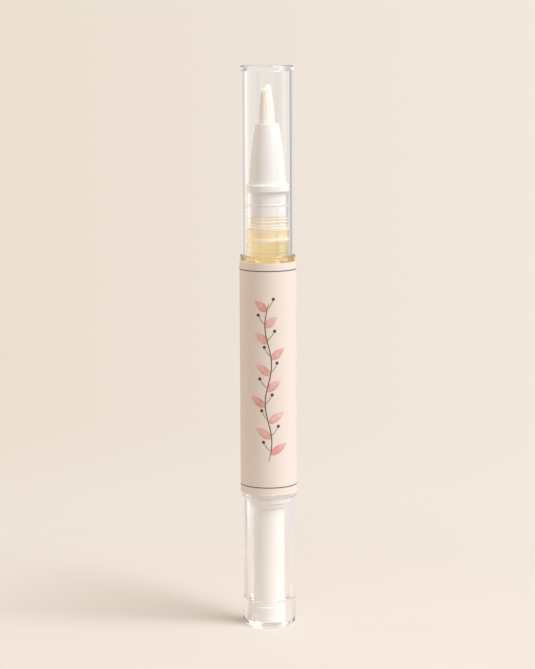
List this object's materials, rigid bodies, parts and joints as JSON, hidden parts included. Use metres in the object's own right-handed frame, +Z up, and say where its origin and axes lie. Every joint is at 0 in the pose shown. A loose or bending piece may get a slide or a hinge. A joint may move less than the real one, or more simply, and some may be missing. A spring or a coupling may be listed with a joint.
{
  "type": "nail oil pen",
  "caption": "Slim upright twist pen: clear barrel of oil with a wrapped label, angled brush under a clear push-on cap, and a clear twist knob that drives a piston.",
  "frame": {"origin": "middle of the knob's flat foot, which the pen stands on", "axes": "+Z up along the pen from the knob to the brush end; front of the label towards -Y"},
  "size_m": [0.0124, 0.0123, 0.123],
  "materials": {
    "clear_plastic": "clear, glossy",
    "white_plastic": "satin",
    "natural_plastic": "translucent, unpigmented",
    "label_paper": "smooth, matt",
    "oil": "clear liquid",
    "tube_plastic": "clear",
    "bristle_nylon": "fine nylon"
  },
  "bodies": {
    "barrel": {"barrel": "clear_plastic", "label": "label_paper", "oil_column": "oil", "oil_neck": "oil", "guide_nut": "white_plastic", "nozzle": "white_plastic", "seal_plug": "natural_plastic", "feed_tube": "tube_plastic", "bristles": "bristle_nylon"},
    "knob": {"knob": "clear_plastic", "drive_core": "white_plastic"},
    "screw": {"screw_rod": "white_plastic"},
    "piston": {"piston": "natural_plastic"},
    "cap": {"cap": "clear_plastic"}
  },
  "joints": [
    {"name": "knob_twist", "type": "hinge", "parent": "barrel", "child": "knob", "pos_m": [0, 0, 0.0145], "axis": [0, 0, 1], "range_deg": [0, 5760]},
    {"name": "screw_feed", "type": "slide", "parent": "knob", "child": "screw", "axis": [0, 0, 1], "range_m": [0, 0.032]},
    {"name": "piston_feed", "type": "slide", "parent": "barrel", "child": "piston", "axis": [0, 0, 1], "range_m": [0, 0.032], "deforming": ["oil_column"]},
    {"name": "cap_pull", "type": "slide", "parent": "barrel", "child": "cap", "axis": [0, 0, 1], "range_m": [0, 0.045]}
  ],
  "couplings": [
    {"joint": "knob_twist", "follows": "piston_feed", "rad_per_m": 3141.6},
    {"joint": "screw_feed", "follows": "piston_feed", "ratio": 1}
  ]
}
